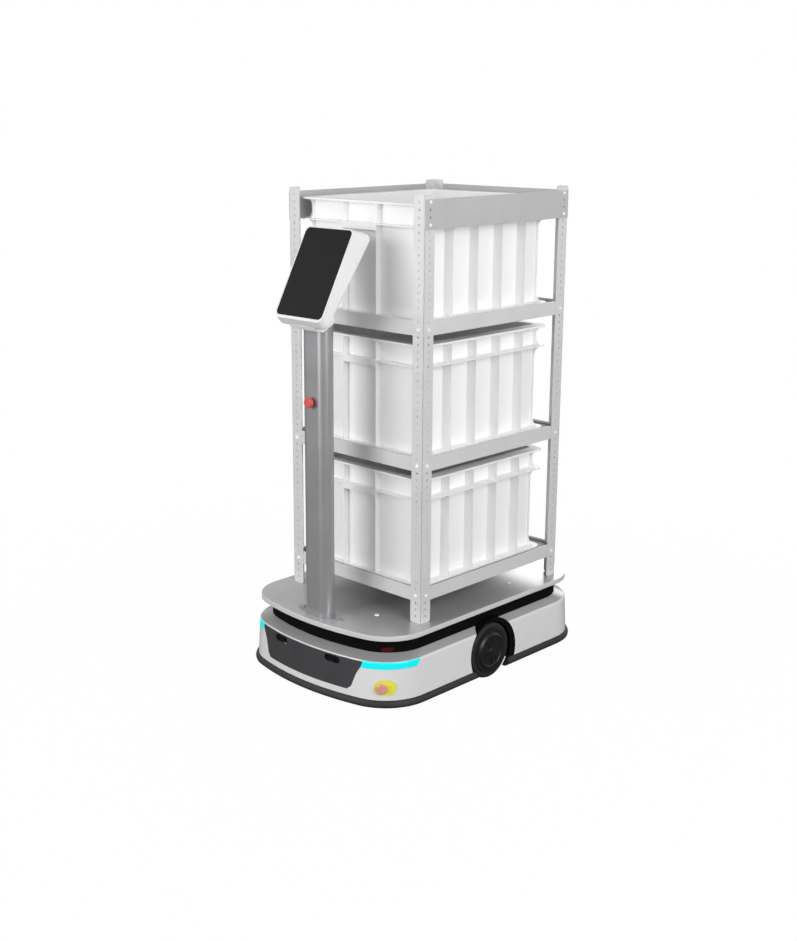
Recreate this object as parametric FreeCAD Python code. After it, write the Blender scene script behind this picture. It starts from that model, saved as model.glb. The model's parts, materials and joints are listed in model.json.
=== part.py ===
"""Autonomous mobile robot that carries a bolted rack with three stacking crates.

Millimetres. The origin is on the floor, midway between the drive wheels.
-Y is the driving direction (front), +X the robot's left seen from behind it, +Z up.
"""
import FreeCAD, Part
import math
import os

V = FreeCAD.Vector

# ---------------------------------------------------------------- driving sizes
FIT = 0.3                    # gap between separate pieces that do not touch
RUN = 0.05                   # radial clearance of a shaft in its bore

# drive wheels
WHEEL_R = 85.0
WHEEL_W = 44.0
WHEEL_SET_IN = 6.0           # outer face of the tyre inside the body's widest line
RIM_R = 69.0
AXLE_R = 6.0
TYRE_ROUND = 7.0

# body outline at the lower edge of the shell: half width, front, rear and their arcs
BODY_HALF = 314.0
BODY_FRONT = -472.0
BODY_REAR = 472.0
BODY_FRONT_ARC = 812.0
BODY_REAR_ARC = 1500.0
BODY_FRONT_CORNER = 148.0
BODY_REAR_CORNER = 146.0
SHELL_Z = 42.0               # lower edge of the shell
SIDE_TOP_Z = 146.0           # where the side wall turns into the shoulder
SIDE_LEAN = 6.0              # how far the wall leans inwards on the way up
BEVEL = 10.0                 # radius of that turn
NECK_Z = 168.0               # upper, inner edge of the shoulder
NECK_SIDE = 31.0             # inset of that edge at the sides
NECK_FRONT = 41.0
NECK_REAR = 36.0
NECK_FRONT_ARC = 711.0
NECK_CORNER = 134.0
NECK_LIP = 0.3               # flat rim round the neck's opening
SHELL_WALL = 3.0
BUMPER_OUT = 9.0             # how far the bumper stands out
BUMPER_Z = 20.0              # its underside
BUMPER_DEPTH = 10.0          # how far it reaches in under the shell

# wheel arches
ARCH_R = 103.0
ARCH_Y = 11.0
ARCH_Z = 80.0
ARCH_DEPTH = 61.0
TYRE_GAP = 4.0

# chassis
PLATE_Z = 30.0
PLATE_T = 6.0
COLUMN = 24.0
CASTER_R = 37.5
CASTER_W = 26.0
TREAD = 4.0                  # bevel beside the caster's tread
CASTER_SET_IN = 99.0         # swivel axis inside the body's widest line
CASTER_FROM_FRONT = 142.0
CASTER_FROM_REAR = 137.0
CASTER_TRAIL = 28.0
CASTER_AXLE_R = 5.0
STEM_R = 7.0
CHEEK_T = 3.0
SILL_GAP = 18.0              # sill beside the drive wheel
CASTER_HEAD = 9.0            # air between the caster wheel and its fork's crown
CASTER_ROOM = 8.0            # and round it as it swivels
MOUNT_T = 4.0
MOUNT_FOOT = 18.0            # half width of each leg

# deck
DECK_TOP = 228.0
DECK_T = 15.0
DECK_SET_IN = 9.0            # edge inside the body's widest line
DECK_FROM_FRONT = 17.0
DECK_FROM_REAR = 21.0
DECK_FRONT_ARC = 859.0
DECK_REAR_ARC = 20000.0
DECK_CORNER = 132.5
DECK_EDGE = 1.2
COLUMN_FRONT = (180.0, 159.0)  # in from the deck's side and from its front end
COLUMN_SIDE = (84.0, 262.0)  # in from its side and from its rear end
COLUMN_REAR = (195.0, 51.0)

# front panel, light bars, cameras
PANEL_TOP = 150.0
PANEL_BOTTOM = 60.0
PANEL_SET_IN = 112.0         # its side, at the light bars' lower edge, inside the body's widest line
PANEL_TAPER = 28.0           # how much narrower each side is at the bottom
LIGHT_BOTTOM = 132.5
LIGHT_TOP = 152.0
LIGHT_SLANT = 7.0
LIGHT_LONG = 160.0           # its end behind the body's front
CAMERA_X = 106.0
CAMERA_Z = 136.0
CAMERA_W = 54.0
CAMERA_H = 20.0
LIDAR_SET_IN = 72.0
LIDAR_BEHIND = 99.0
LIDAR_Z = 177.0

# emergency stops
STOP_R = 15.0
STOP_TRAVEL = 4.0
STOP_STEM_R = 9.0
STOP_DOME = 2.5              # rounding of the button's front edge
COLLAR_OUT = 3.0             # collar before its panel
PLATE_SET_IN = 47.4
PLATE_BEHIND = 66.0
PLATE_MID_Z = 79.0
PLATE_LONG = 63.0
PLATE_HIGH = 43.0
FRONT_STOP_OUT = 12.0
MAST_STOP_OUT = 20.0
MAST_STOP_Z = 858.0

# mast and screen
MAST_W = 94.0
MAST_D = 52.0
MAST_BEHIND = 28.0           # its face behind the deck's front
MAST_ROUND = 25.0
MAST_WALL = 3.0
MAST_FOOT_T = 3.0
MAST_EAR_X = 71.0
MAST_TOP = 1100.0
PLUG_LONG = 50.0
SCREEN_W = 180.0
SCREEN_L = 259.0
SCREEN_ROUND = 14.0
SCREEN_TILT = 28.1
SCREEN_AHEAD = 50.0          # lower edge of the glass before the mast
SCREEN_LOW_Z = 1101.5
GLASS_T = 3.0
BEZEL = 4.0
CASE_CHIN = 8.5              # case below the glass
CASE_SAG = 13.5              # how much lower its back edge is
CASE_LOW = 37.0              # thickness at the lower edge
CASE_TOP = 78.0              # thickness at the upper edge
CASE_RISE = 22.0             # upper back edge above the glass
CASE_ROUND = 18.0
CASE_BACK_ROUND = 14.0
NECK_DROP_Z = 1059.0         # mouth of the neck that swallows the mast
NECK_SLANT = 0.5             # how steeply that mouth rises backwards
SLOT_W = 58.0                # card slot in the underside
SLOT_H = 4.5
SLOT_DEEP = 6.0
NECK_GRIP = 4.0              # neck wall round the mast
HEAD_T = 6.0

# rack
RACK_SET_IN = 40.0           # posts inside the deck's side
RACK_HALF_Y = 311.0
RACK_Y = 49.0                # centre of the rack
POST_H = 1200.0
POST_W = 40.0
POST_T = 2.0
BEAM_H = 41.0
BEAM_T = 2.0
LEDGE_W = 20.0
BEAM_Z = 63.0                # lowest beam's underside above the deck
TIER = 380.0
TIERS = 3
SHELF_DOWN = 7.0             # shelf surface below the beam's top
SHELF_T = 2.0
BAND_H = 80.0
BAND_T = 2.0
BAND_DOWN = 12.0             # band's top below the posts' tops

# crates
CRATE_GAP_X = 20.0           # crate inside the posts, to the side and lengthwise
CRATE_GAP_Y = 32.0
CRATE_FORWARD = 13.0         # centre ahead of the rack's
CRATE_H = 316.0
CRATE_WALL = 3.0
CRATE_SIDE_IN = 33.0         # wall behind the flange edge, long sides
CRATE_END_IN = 20.0          # the same, short ends
CRATE_CORNER = 12.0          # of the wall
RIM_CORNER = 28.0            # of the rim and flanges
RIM_T = 6.0
FLANGE_T = 4.0
FLANGE_TOP = 256.0
FOOT_T = 5.0
FIN_T = 3.0
FIN_PITCH = 105.0            # fins along the long sides
END_FIN_X = 66.0             # and the two on each short end
GRIP_H = 15.0

# inside the body
BATTERY_HALF = 115.0
BATTERY_FRONT = -120.0
BATTERY_REAR = 150.0
BATTERY_H = 110.0
BATTERY_LIP = 4.0
CONTROLLER_HALF = 80.0
CONTROLLER_FRONT = 215.0
CONTROLLER_REAR = 360.0
CONTROLLER_H = 80.0
HEATSINK_H = 12.0
HEATSINK_PITCH = 14.0


# ---------------------------------------------------------------- helpers
def box(x0, x1, y0, y1, z0, z1):
    return Part.makeBox(x1 - x0, y1 - y0, z1 - z0, V(x0, y0, z0))


def rod(radius, start, end):
    start, end = V(*start), V(*end)
    along = end - start
    return Part.makeCylinder(radius, along.Length, start, along)


def join(*shapes):
    whole = shapes[0].fuse(list(shapes[1:])) if len(shapes) > 1 else shapes[0]
    return whole.removeSplitter()


def mirrored(shape):
    return shape.mirror(V(0, 0, 0), V(1, 0, 0))


def moved(shape, x=0.0, y=0.0, z=0.0):
    copy = shape.copy()
    copy.translate(V(x, y, z))
    return copy


def polygon(points):
    return Part.makePolygon([V(*p) for p in points] + [V(*points[0])])


def arc(a, m, b):
    return Part.Arc(V(*a), V(*m), V(*b)).toShape()


def outline(shape, z):
    """Closed wire of a body outline: an arched front and rear, round corners, straight sides."""
    half, front, front_arc, front_corner, rear, rear_arc, rear_corner = shape

    def corner(big, small, apex, sign):
        cx = half - small
        cy = apex + sign * (big - math.sqrt((big - small) ** 2 - cx ** 2))
        mid_y = apex + sign * big
        k = big / (big - small)
        touch = (cx * k, mid_y + (cy - mid_y) * k)
        angle = 0.5 * math.atan2(touch[1] - cy, touch[0] - cx)
        bend = (cx + small * math.cos(angle), cy + small * math.sin(angle))
        return touch, bend, (half, cy)

    ft, fb, fs = corner(front_arc, front_corner, front, 1)
    rt, rb, rs = corner(rear_arc, rear_corner, rear, -1)
    edges = [
        arc((-ft[0], ft[1], z), (0, front, z), (ft[0], ft[1], z)),
        arc((ft[0], ft[1], z), (fb[0], fb[1], z), (fs[0], fs[1], z)),
        Part.makeLine(V(fs[0], fs[1], z), V(rs[0], rs[1], z)),
        arc((rs[0], rs[1], z), (rb[0], rb[1], z), (rt[0], rt[1], z)),
        arc((rt[0], rt[1], z), (0, rear, z), (-rt[0], rt[1], z)),
        arc((-rt[0], rt[1], z), (-rb[0], rb[1], z), (-rs[0], rs[1], z)),
        Part.makeLine(V(-rs[0], rs[1], z), V(-fs[0], fs[1], z)),
        arc((-fs[0], fs[1], z), (-fb[0], fb[1], z), (-ft[0], ft[1], z)),
    ]
    return Part.Wire(edges)


def inset(shape, t):
    half, front, front_arc, front_corner, rear, rear_arc, rear_corner = shape
    return (half - t, front + t, front_arc - t, front_corner - t,
            rear - t, rear_arc - t, rear_corner - t)


def stack(sections):
    """Solid through a list of (outline, z), with straight walls between them."""
    return Part.makeLoft([outline(shape, z) for shape, z in sections], True, True)


def slab(shape, z0, z1):
    return Part.Face(outline(shape, z0)).extrude(V(0, 0, z1 - z0))


def rounded(width, height, radius):
    """Closed wire of a rounded rectangle in the XY plane about the origin."""
    w, h = width / 2 - radius, height / 2 - radius
    d = radius * math.sqrt(0.5)
    edges = []
    for sx, sy in ((1, -1), (1, 1), (-1, 1), (-1, -1)):
        a = V(sx * w + (radius if sx == sy else 0) * sx, sy * h + (0 if sx == sy else radius) * sy)
        b = V(sx * w + (0 if sx == sy else radius) * sx, sy * h + (radius if sx == sy else 0) * sy)
        edges.append(Part.Arc(a, V(sx * (w + d), sy * (h + d)), b).toShape())
    lines = [Part.makeLine(edges[i].Vertexes[1].Point,
                           edges[(i + 1) % 4].Vertexes[0].Point) for i in range(4)]
    ordered = [piece for pair in zip(edges, lines) for piece in pair if piece.Length > 1e-6]
    return Part.Wire(ordered)


def profile(shape_points):
    """Face from points in the XZ plane, for parts turned about X or Z."""
    return Part.Face(polygon([(a, 0, b) for a, b in shape_points]))


DECK_HALF = BODY_HALF - DECK_SET_IN
DECK_FRONT = BODY_FRONT + DECK_FROM_FRONT
DECK_REAR = BODY_REAR - DECK_FROM_REAR
CASTER_X = BODY_HALF - CASTER_SET_IN
CASTER_FRONT_Y = BODY_FRONT + CASTER_FROM_FRONT
CASTER_REAR_Y = BODY_REAR - CASTER_FROM_REAR
CASTER_SWING = CASTER_R + CASTER_TRAIL + CASTER_ROOM
KEEL_HALF = CASTER_X - CASTER_SWING
COLUMN_SPOTS = ((DECK_HALF - COLUMN_FRONT[0], DECK_FRONT + COLUMN_FRONT[1]),
                (DECK_HALF - COLUMN_SIDE[0], DECK_REAR - COLUMN_SIDE[1]),
                (DECK_HALF - COLUMN_REAR[0], DECK_REAR - COLUMN_REAR[1]))
PANEL_HALF_TOP = BODY_HALF - PANEL_SET_IN
PANEL_HALF_LOW = PANEL_HALF_TOP - PANEL_TAPER
LIGHT_END_Y = BODY_FRONT + LIGHT_LONG
LIDAR_X = BODY_HALF - LIDAR_SET_IN
LIDAR_Y = BODY_FRONT + LIDAR_BEHIND
PLATE_X = BODY_HALF - PLATE_SET_IN
PLATE_Y = BODY_FRONT + PLATE_BEHIND
MAST_FRONT = DECK_FRONT + MAST_BEHIND
SCREEN_LOW_Y = MAST_FRONT - SCREEN_AHEAD
RACK_HALF_X = DECK_HALF - RACK_SET_IN
CRATE_HALF_X = RACK_HALF_X - CRATE_GAP_X
CRATE_HALF_Y = RACK_HALF_Y - CRATE_GAP_Y
CRATE_Y = RACK_Y - CRATE_FORWARD
SIDE_FINS = tuple(FIN_PITCH * step for step in (-1.5, -0.5, 0.5, 1.5))
END_FINS = (-END_FIN_X, END_FIN_X)
BODY = (BODY_HALF, BODY_FRONT, BODY_FRONT_ARC, BODY_FRONT_CORNER,
        BODY_REAR, BODY_REAR_ARC, BODY_REAR_CORNER)
NECK = (BODY_HALF - NECK_SIDE, BODY_FRONT + NECK_FRONT, NECK_FRONT_ARC, NECK_CORNER,
        BODY_REAR - NECK_REAR, BODY_REAR_ARC - NECK_REAR, NECK_CORNER)
DECK = (DECK_HALF, DECK_FRONT, DECK_FRONT_ARC, DECK_CORNER,
        DECK_REAR, DECK_REAR_ARC, DECK_CORNER)
DECK_UNDER = DECK_TOP - DECK_T
WHEEL_OUT_X = BODY_HALF - WHEEL_SET_IN
WHEEL_IN_X = WHEEL_OUT_X - WHEEL_W
SLOPE = math.atan2(NECK_Z - SIDE_TOP_Z - BEVEL * 0.7, NECK_SIDE - SIDE_LEAN - BEVEL * 0.7)


# ---------------------------------------------------------------- shell
def shell_sections(skin=0.0):
    """Outer surface of the shell, or the one that lies skin inside it."""
    sections = [(inset(BODY, skin), SHELL_Z), (inset(BODY, SIDE_LEAN + skin), SIDE_TOP_Z)]
    for step in (1, 2, 3):
        turn = (math.pi / 2 - SLOPE) * step / 3
        t = SIDE_LEAN + BEVEL * (1 - math.cos(turn))
        z = SIDE_TOP_Z + BEVEL * math.sin(turn)
        sections.append((inset(BODY, t + skin * math.cos(turn)), z - skin * math.sin(turn)))
    sections.append((inset(NECK, NECK_LIP if skin else 0), NECK_Z - skin))
    return sections


def arch_cutter(radius, y, z, x0):
    return rod(radius, (x0, y, z), (BODY_HALF + 30, y, z))


SHELL_OUTER = stack(shell_sections())
SHELL_INNER = stack([(inset(BODY, SHELL_WALL), SHELL_Z - 1)] + shell_sections(SHELL_WALL)
                    + [(inset(NECK, NECK_LIP), NECK_Z + 1)])
SHELL_SKIN = SHELL_OUTER.cut(SHELL_INNER)


def panel_prism(gap=0.0):
    """Block through the front wall with the dark panel's outline seen from the front."""
    top_half = PANEL_HALF_TOP + LIGHT_SLANT * (PANEL_TOP - LIGHT_BOTTOM) / (LIGHT_TOP - LIGHT_BOTTOM)
    right = [(PANEL_HALF_LOW - 12, PANEL_BOTTOM), (PANEL_HALF_LOW + 1, PANEL_BOTTOM + 11),
             (PANEL_HALF_TOP - 13, LIGHT_BOTTOM - 22), (PANEL_HALF_TOP, LIGHT_BOTTOM),
             (top_half, PANEL_TOP)]
    points = [(x + gap, z - gap if z == PANEL_BOTTOM else z) for x, z in right]
    points[-1] = (points[-1][0], PANEL_TOP + gap)
    loop = points + [(-x, z) for x, z in reversed(points)]
    wire = polygon([(x, BODY_FRONT - 20, z) for x, z in loop])
    return Part.Face(wire).extrude(V(0, 120, 0))


def light_prism(gap=0.0):
    """Block round the left front corner that bounds one light bar."""
    foot = PANEL_HALF_TOP + FIT
    end = LIGHT_END_Y
    lower, upper = LIGHT_BOTTOM - gap, LIGHT_TOP + gap
    block = box(foot - 40, BODY_HALF + 20, BODY_FRONT - 20, end + 40, lower, upper)
    inner = polygon([(foot - gap - 60, BODY_FRONT - 21, lower - 1),
                     (foot - gap, BODY_FRONT - 21, lower - 1),
                     (foot - gap + LIGHT_SLANT, BODY_FRONT - 21, upper + 1),
                     (foot - gap - 60, BODY_FRONT - 21, upper + 1)])
    block = block.cut(Part.Face(inner).extrude(V(0, 220, 0)))
    outer = polygon([(100, end + gap - 9, lower - 1), (100, end + gap + 80, lower - 1),
                     (100, end + gap + 80, upper + 1), (100, end + gap + 9, upper + 1)])
    return block.cut(Part.Face(outer).extrude(V(BODY_HALF, 0, 0)))


def light_bar():
    return SHELL_SKIN.common(light_prism())


def camera_body(gap=0.0):
    face = Part.Face(rounded(CAMERA_W + 2 * gap, CAMERA_H + 2 * gap, CAMERA_H / 2 - 0.1 + gap))
    front = BODY_FRONT + SIDE_LEAN + CAMERA_X ** 2 / 2 / BODY_FRONT_ARC + 1.0
    solid = face.extrude(V(0, 0, 22))
    solid.rotate(V(0, 0, 0), V(1, 0, 0), -90)
    return moved(solid, CAMERA_X, front - (5 if gap else 0), CAMERA_Z)


def depth_camera():
    body = camera_body()
    front = body.BoundBox.YMin
    for dx in (-15.0, 15.0):
        body = body.cut(rod(6.5, (CAMERA_X + dx, front - 1, CAMERA_Z),
                            (CAMERA_X + dx, front + 2, CAMERA_Z)))
    return body


# the front stop's plate faces out square to the round corner
CORNER_X = BODY_HALF - BODY_FRONT_CORNER
CORNER_Y = BODY_FRONT + BODY_FRONT_ARC - math.sqrt(
    (BODY_FRONT_ARC - BODY_FRONT_CORNER) ** 2 - CORNER_X ** 2)
OUT = V(PLATE_X - CORNER_X, PLATE_Y - CORNER_Y, 0).normalize()
TANGENT = V(-OUT.y, OUT.x, 0)


def faced(shape, centre, normal):
    """Turns a shape drawn about the origin, looking along +Z, to face normal at centre."""
    side = V(-normal.y, normal.x, 0).normalize()
    up = normal.cross(side)
    m = FreeCAD.Matrix(side.x, up.x, normal.x, centre.x, side.y, up.y, normal.y, centre.y,
                       side.z, up.z, normal.z, centre.z, 0, 0, 0, 1)
    turned = shape.copy()
    turned.transformShape(m)
    return turned


SURFACE = BODY_FRONT_CORNER - SIDE_LEAN * (PLATE_MID_Z - SHELL_Z) / (SIDE_TOP_Z - SHELL_Z)
PLATE_AT = V(CORNER_X, CORNER_Y, PLATE_MID_Z) + OUT * SURFACE
STOP_AT = PLATE_AT - TANGENT * (PLATE_LONG - PLATE_HIGH) / 2


def stop_plate_prism(gap=0.0):
    wire = rounded(PLATE_LONG + 2 * gap, PLATE_HIGH + 2 * gap, PLATE_HIGH / 2 - 0.05 + gap)
    block = Part.Face(wire).extrude(V(0, 0, 60))
    return faced(block, PLATE_AT - OUT * 30, OUT)


def front_stop_plate():
    proud = stack([(inset(BODY, -1.0), SHELL_Z), (inset(BODY, SIDE_LEAN - 1.0), SIDE_TOP_Z)])
    core = stack([(inset(BODY, SHELL_WALL), SHELL_Z), (inset(BODY, SIDE_LEAN + SHELL_WALL), SIDE_TOP_Z)])
    plate = proud.cut(core).common(stop_plate_prism())
    hole = Part.makeCylinder(STOP_STEM_R + 2 + FIT, 60, V(0, 0, -30))
    return plate.cut(faced(hole, STOP_AT, OUT))


def stop_base(depth):
    """Collar and contact block behind a panel, about the origin, looking along +Z."""
    collar = Part.makeCylinder(STOP_STEM_R + 2, depth + COLLAR_OUT, V(0, 0, -depth))
    block = Part.makeBox(26, 30, 18, V(-13, -15, -depth - 18))
    bore = Part.makeCylinder(STOP_STEM_R + RUN, depth + COLLAR_OUT + 8, V(0, 0, -depth - 8))
    return join(collar, block).cut(bore)


def stop_button(depth, out):
    """Mushroom button whose stem runs in the collar, about the origin, looking along +Z."""
    under = STOP_TRAVEL + COLLAR_OUT + 0.5
    head = profile([(0, under), (STOP_R - 1, under), (STOP_R, under + 2), (STOP_R, out - STOP_DOME),
                    (STOP_R - STOP_DOME, out), (0, out)])
    head = head.revolve(V(0, 0, 0), V(0, 0, 1), 360)
    stem = Part.makeCylinder(STOP_STEM_R, under + 1 + depth, V(0, 0, -depth))
    return join(head, stem)


def build_shell():
    arch = join(arch_cutter(ARCH_R, ARCH_Y, ARCH_Z, WHEEL_IN_X - 30))
    skin = SHELL_SKIN.cut(arch).cut(mirrored(arch))
    skin = skin.cut(panel_prism(FIT)).cut(light_prism(FIT)).cut(mirrored(light_prism(FIT)))
    skin = skin.cut(stop_plate_prism(FIT))
    front, rear = sorted(skin.Solids, key=lambda solid: solid.CenterOfMass.y)
    slot = rounded(CONTACT_W + 2 * FIT, CONTACT_H + 2 * FIT, 6)
    port = Part.Face(slot).extrude(V(0, 0, 80))
    port.rotate(V(0, 0, 0), V(1, 0, 0), 90)
    rear = rear.cut(moved(port, 0, BODY_REAR + 30, CONTACT_Z))
    return front, rear


# ---------------------------------------------------------------- lower body
CONTACT_W = 90.0
CONTACT_H = 34.0
CONTACT_Z = 84.0


def charge_contacts():
    """Rear docking block: a flush plate with two copper-coloured strips."""
    face = Part.Face(rounded(CONTACT_W, CONTACT_H, 6))
    block = face.extrude(V(0, 0, 16))
    block.rotate(V(0, 0, 0), V(1, 0, 0), 90)
    back = BODY_REAR - SIDE_LEAN * (CONTACT_Z - SHELL_Z) / (SIDE_TOP_Z - SHELL_Z)
    block = moved(block, 0, back, CONTACT_Z)
    strips = [box(-30, 30, back - 1.5, back + 1.0, CONTACT_Z + dz - 3, CONTACT_Z + dz + 3) for dz in (-8,
                                                                                                      8)]
    return join(block, *strips)


def bumper():
    """Ring of soft rubber below the shell, with a bulging D section."""
    inner = inset(BODY, BUMPER_DEPTH)
    rise = SHELL_Z - BUMPER_Z
    swell = ((0.0, 0.0), (0.04, 0.55), (0.17, 0.9), (0.38, 1.0), (0.62, 0.88), (0.85, 0.45), (1.0, 0.0))
    ring = stack([(inset(BODY, -BUMPER_OUT * out), BUMPER_Z + rise * up) for up, out in swell])
    ring = ring.cut(slab(inner, BUMPER_Z - 1, SHELL_Z + 1))
    room = arch_cutter(WHEEL_R + TYRE_GAP, 0, WHEEL_R, WHEEL_IN_X - 60)
    ring = ring.cut(room).cut(mirrored(room))
    front_half = box(-400, 400, -600, 0, 0, 100)
    return ring.common(front_half), ring.cut(front_half)


def both_sides(shape):
    return [shape, mirrored(shape)]


def chassis_frame():
    """Keel plate, outriggers and sills round the wheels, and the columns that carry the deck.

    The four corners stay open, so the casters swivel clear of the plates.
    """
    low, high = PLATE_Z, PLATE_Z + PLATE_T
    keel = slab(inset(BODY, BUMPER_DEPTH + FIT), low, high)
    keel = keel.common(box(-KEEL_HALF, KEEL_HALF, BODY_FRONT, BODY_REAR, low, high))
    side = BODY_HALF - BUMPER_DEPTH - FIT
    wheel_front, wheel_rear = -WHEEL_R - TYRE_GAP, ARCH_Y + ARCH_R
    parts = [keel]
    parts += both_sides(box(KEEL_HALF, side, CASTER_FRONT_Y + CASTER_SWING, wheel_front, low, high))
    parts += both_sides(box(KEEL_HALF, side, wheel_rear, CASTER_REAR_Y - CASTER_SWING, low, high))
    parts += both_sides(box(KEEL_HALF, WHEEL_IN_X - SILL_GAP, wheel_front, wheel_rear, low, high))
    half = COLUMN / 2
    for x, y in COLUMN_SPOTS:
        parts += both_sides(box(x - half, x + half, y - half, y + half, high, DECK_UNDER - HOUSING_T))
    return Part.Compound(parts)


HOUSING_T = 4.0


def upper_housing():
    """Black body between the shoulder and the deck, closed on top."""
    outer = inset(NECK, FIT + NECK_LIP)
    walls = slab(outer, NECK_Z - 14, DECK_UNDER)
    hollow = slab(inset(outer, SHELL_WALL), NECK_Z - 15, DECK_UNDER - HOUSING_T)
    shape = walls.cut(hollow)
    arch = arch_cutter(ARCH_R + FIT, ARCH_Y, ARCH_Z, WHEEL_IN_X - 30)
    shape = shape.cut(arch).cut(mirrored(arch))
    opening = Part.Face(rounded(38 + 2 * FIT, 12 + 2 * FIT, 6)).extrude(V(0, 0, 30))
    window = faced(opening, LIDAR_AT - LIDAR_OUT * 15, LIDAR_OUT)
    return shape.cut(window)


LIDAR_OUT = V(LIDAR_X - (NECK[0] - NECK[3]), LIDAR_Y - CORNER_Y, 0).normalize()
LIDAR_AT = V(LIDAR_X, LIDAR_Y, LIDAR_Z)


def lidar_window():
    wire = rounded(38, 12, 5.9)
    return faced(Part.Face(wire).extrude(V(0, 0, 5)), LIDAR_AT - LIDAR_OUT * 3.5, LIDAR_OUT)


def lidar_body():
    """Scanner puck behind the window, hung from the upper housing's top."""
    back = LIDAR_AT - LIDAR_OUT * (3.5 + 24)
    drum = Part.makeCylinder(24, 34, V(back.x, back.y, LIDAR_Z - 15))
    stalk = Part.makeCylinder(12, DECK_UNDER - HOUSING_T - LIDAR_Z - 19, V(back.x, back.y, LIDAR_Z + 19))
    return join(drum, stalk)


def wheel_arch():
    """Crescent liner between the round opening of the shell and the tyre."""
    outer = rod(ARCH_R - FIT, (BODY_HALF - 3 - ARCH_DEPTH, ARCH_Y, ARCH_Z), (BODY_HALF + 5, ARCH_Y, ARCH_Z))
    inner = arch_cutter(WHEEL_R + TYRE_GAP, 0, WHEEL_R, BODY_HALF - 10 - ARCH_DEPTH)
    ring = outer.cut(inner).common(box(0, 400, -300, 300, SHELL_Z + FIT, DECK_UNDER - FIT))
    wall = stack([(inset(BODY, SIDE_LEAN * k), SHELL_Z + (SIDE_TOP_Z - SHELL_Z) * k) for k in (0.0, 1.0,
                                                                                               1.6)])
    return ring.common(wall)


# ---------------------------------------------------------------- drive wheels
def turned(points, x0=0.0):
    """Solid turned about the wheel axis from (x, radius) points."""
    face = Part.Face(polygon([(x0 + x, 0, WHEEL_R + r) for x, r in points]))
    return face.revolve(V(0, 0, WHEEL_R), V(1, 0, 0), 360)


def drive_tyre():
    c = TYRE_ROUND
    return turned([(0, RIM_R), (WHEEL_W, RIM_R), (WHEEL_W, WHEEL_R - c),
                   (WHEEL_W - 0.3 * c, WHEEL_R - 0.3 * c),
                   (WHEEL_W - c, WHEEL_R), (c, WHEEL_R), (0.3 * c, WHEEL_R - 0.3 * c), (0, WHEEL_R - c)],
                   WHEEL_IN_X)


HUB_SIDE = 4.0
HUB_SHELL = 9.0


def hub_motor():
    """Rotor drum of the hub motor: hollow, with a bore for the fixed axle."""
    wide = WHEEL_W - 2
    return turned([(0, AXLE_R + RUN), (0, RIM_R), (wide, RIM_R), (wide, 0), (wide - HUB_SIDE, 0),
                   (wide - HUB_SIDE, RIM_R - HUB_SHELL), (HUB_SIDE, RIM_R - HUB_SHELL),
                   (HUB_SIDE, AXLE_R + RUN)],
                  WHEEL_IN_X)


def hub_stator():
    """Winding drum that stays still inside the rotor."""
    r = RIM_R - HUB_SHELL - 1.0
    x0, x1 = HUB_SIDE + 2, WHEEL_W - 2 - HUB_SIDE - 2
    return turned([(x0, AXLE_R), (x0, r), (x1, r), (x1, AXLE_R)], WHEEL_IN_X)


COVER_R = 68.0
COVER_X = WHEEL_OUT_X - 2.0
COVER_SPOKES = 10


def wheel_cover():
    """Cap with a raised ring, a hollow dish and radial slots in it."""
    cap = turned([(0, 0), (0, COVER_R), (4, COVER_R - 1), (4, COVER_R - 12), (9.5, COVER_R - 18),
                  (9.5, COVER_R - 21), (7.5, COVER_R - 24), (7.5, 10), (9.5, 8), (9.5, 0)], COVER_X)
    for i in range(COVER_SPOKES):
        slot = box(COVER_X + 5.5, COVER_X + 12, -1.8, 1.8, WHEEL_R + 14, WHEEL_R + COVER_R - 26)
        slot.rotate(V(0, 0, WHEEL_R), V(1, 0, 0), 360.0 * i / COVER_SPOKES)
        cap = cap.cut(slot)
    return cap


BRACKET_X = WHEEL_IN_X - 14.0
MOTOR_PLATE_T = 8.0


def axle_bracket():
    """Upright plate on the chassis with the fixed axle and stator of the hub motor."""
    plate = box(BRACKET_X - MOTOR_PLATE_T, BRACKET_X, -45, 45, PLATE_Z + PLATE_T, WHEEL_R + 30)
    foot = box(BRACKET_X - MOTOR_PLATE_T - 42, BRACKET_X - MOTOR_PLATE_T, -45, 45, PLATE_Z + PLATE_T,
               PLATE_Z + PLATE_T + 6)
    ribs = []
    for y in (-39, 33):
        rib = Part.Face(polygon([(BRACKET_X - MOTOR_PLATE_T, y, WHEEL_R + 20),
                                 (BRACKET_X - MOTOR_PLATE_T - 38, y, PLATE_Z + PLATE_T + 6),
                                 (BRACKET_X - MOTOR_PLATE_T, y, PLATE_Z + PLATE_T + 6)])).extrude(V(0, 6,
                                                                                                    0))
        ribs.append(rib)
    axle = rod(AXLE_R, (BRACKET_X - 16, 0, WHEEL_R), (WHEEL_OUT_X - 2 - HUB_SIDE - FIT, 0, WHEEL_R))
    collar = rod(AXLE_R + 5, (BRACKET_X, 0, WHEEL_R), (WHEEL_IN_X - FIT, 0, WHEEL_R))
    return join(plate, foot, *ribs, axle, collar, hub_stator())


# ---------------------------------------------------------------- casters
MOUNT_UNDER = 2 * CASTER_R + CASTER_HEAD + CHEEK_T + FIT


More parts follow.
